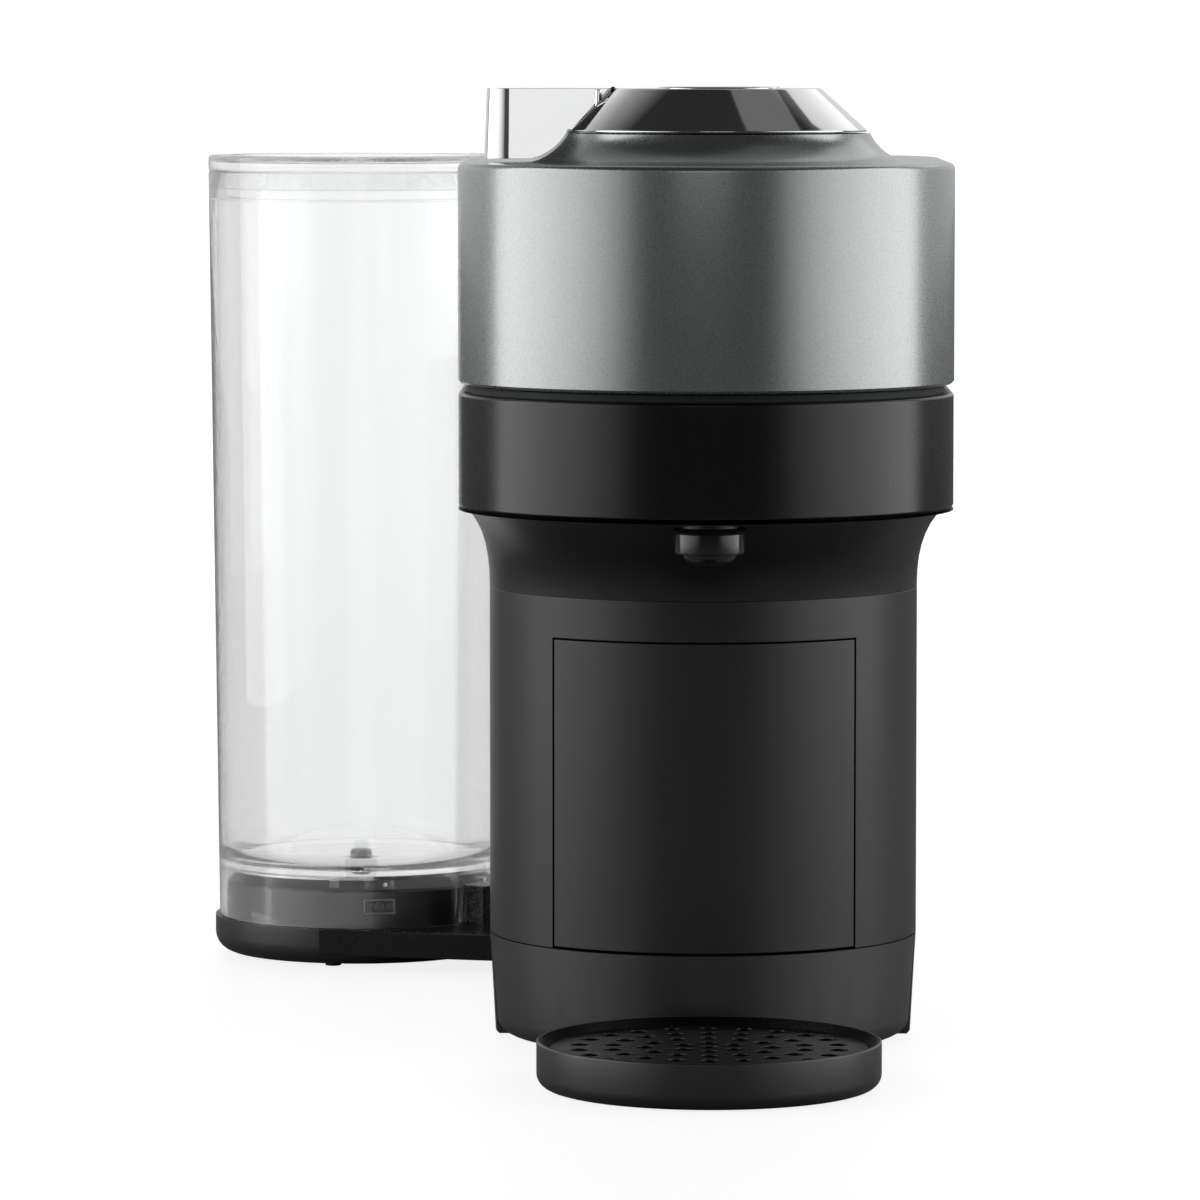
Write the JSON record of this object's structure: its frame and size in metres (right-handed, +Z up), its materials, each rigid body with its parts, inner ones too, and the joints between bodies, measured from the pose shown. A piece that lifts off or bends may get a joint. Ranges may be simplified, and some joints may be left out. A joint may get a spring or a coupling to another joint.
{
  "type": "pod coffee machine",
  "caption": "Slim pod coffee machine with a metallic gray lifting head, chrome lock lever, black column, round drip tray and a clear water tank on a swivelling arm.",
  "frame": {"origin": "on the counter, under the centre of the column's round front", "axes": "+X to the machine's right as seen from its front, +Y to its rear, +Z up"},
  "size_m": [0.2247, 0.3967, 0.277],
  "materials": {
    "satin_black": "fine satin texture",
    "gloss_black": "gloss",
    "frame_plastic": "moulded, matt",
    "metallic_gray": "metallic paint on plastic, satin",
    "chrome_plate": "bright plating",
    "brushed_grid": "brushed",
    "bearing_steel": "turned",
    "pump_metal": "zinc plated",
    "cast_aluminium": "die cast",
    "white_plastic": "translucent white",
    "hose_silicone": "milky silicone",
    "board_green": "solder mask",
    "component_black": "moulded",
    "black_rubber": "matt rubber",
    "clear_tank": "clear moulded plastic, polished"
  },
  "bodies": {
    "body": {"base_cover": "satin_black", "column_shell": "satin_black", "head_flare": "satin_black", "head_ring": "satin_black", "deck_cover": "satin_black", "chassis": "frame_plastic", "coffee_collector": "frame_plastic", "nozzle": "satin_black", "nozzle_tip": "gloss_black", "holder_bearing": "bearing_steel", "capsule_chute": "frame_plastic", "pump": "pump_metal", "pump_mounts": "black_rubber", "heater": "cast_aluminium", "flow_meter": "white_plastic", "inlet_hose": "hose_silicone", "pump_hose": "hose_silicone", "heater_hose": "hose_silicone", "control_board": "board_green", "board_parts": "component_black", "cord_gland": "black_rubber", "rubber_feet": "black_rubber", "base_screws": "bearing_steel", "hinge_bracket": "frame_plastic", "hinge_pin": "bearing_steel", "lid_gasket": "black_rubber", "lid_switch": "component_black", "swivel_post": "frame_plastic", "post_seal": "black_rubber"},
    "lid": {"head_shell": "metallic_gray", "head_liner": "frame_plastic", "bearing_housing": "frame_plastic", "injector_bearings": "bearing_steel", "lid_motor": "pump_metal", "drive_belt": "black_rubber", "injector_hose": "hose_silicone", "code_reader": "component_black"},
    "injector": {"injector_head": "bearing_steel", "injector_shaft": "bearing_steel", "rotor_pulley": "frame_plastic", "chamber_seal": "black_rubber"},
    "motor_rotor": {"motor_shaft": "bearing_steel", "motor_pulley": "frame_plastic"},
    "lock": {"lock_cone": "chrome_plate", "lock_lever": "chrome_plate", "lock_hub": "frame_plastic", "light_ring": "white_plastic", "button_spring": "bearing_steel"},
    "button": {"brew_button": "chrome_plate"},
    "holder": {"capsule_holder": "bearing_steel"},
    "tray": {"drip_tray": "satin_black"},
    "grid": {"drip_grid": "brushed_grid"},
    "bin": {"capsule_bin": "satin_black"},
    "arm": {"tank_arm": "satin_black", "dock_latch": "satin_black", "dock_socket": "frame_plastic", "arm_feet": "black_rubber"},
    "tank": {"water_tank": "clear_tank", "tank_valve": "gloss_black"},
    "tank_lid": {"tank_lid": "clear_tank"}
  },
  "joints": [
    {"name": "lid_hinge", "type": "hinge", "parent": "body", "child": "lid", "pos_m": [0, 0.0635, 0.2], "axis": [-1, 0, 0], "range_deg": [0, 60]},
    {"name": "lock_turn", "type": "hinge", "parent": "lid", "child": "lock", "pos_m": [0.0035, -0.099, 0.27], "axis": [0, 0, 1], "range_deg": [0, 45]},
    {"name": "button_press", "type": "slide", "parent": "lock", "child": "button", "axis": [0, 0, -1], "range_m": [0, 0.0015], "stiffness_N_per_m": 600, "springref_m": -0.001, "deforming": ["button_spring"]},
    {"name": "injector_spin", "type": "hinge", "parent": "lid", "child": "injector", "pos_m": [0, -0.099, 0.22], "axis": [0, 0, 1], "continuous": true},
    {"name": "motor_spin", "type": "hinge", "parent": "lid", "child": "motor_rotor", "pos_m": [0, -0.03, 0.24], "axis": [0, 0, 1], "continuous": true},
    {"name": "holder_spin", "type": "hinge", "parent": "body", "child": "holder", "pos_m": [0, -0.099, 0.18], "axis": [0, 0, 1], "continuous": true},
    {"name": "tray_slide", "type": "slide", "parent": "body", "child": "tray", "axis": [0, -1, 0], "range_m": [0, 0.1]},
    {"name": "grid_lift", "type": "slide", "parent": "tray", "child": "grid", "axis": [0, 0, 1], "range_m": [0, 0.014]},
    {"name": "bin_slide", "type": "slide", "parent": "body", "child": "bin", "axis": [0, -1, 0], "range_m": [0, 0.09]},
    {"name": "arm_swivel", "type": "hinge", "parent": "body", "child": "arm", "pos_m": [0, 0.106, 0.005], "axis": [0, 0, 1], "range_deg": [-145.2, 34.8]},
    {"name": "tank_lift", "type": "slide", "parent": "arm", "child": "tank", "axis": [0, 0, 1], "range_m": [0, 0.04]},
    {"name": "tank_lid_lift", "type": "slide", "parent": "tank", "child": "tank_lid", "axis": [0, 0, 1], "range_m": [0, 0.03]}
  ],
  "couplings": [
    {"joint": "motor_spin", "follows": "injector_spin", "ratio": 2.5},
    {"joint": "holder_spin", "follows": "injector_spin", "ratio": 1}
  ]
}
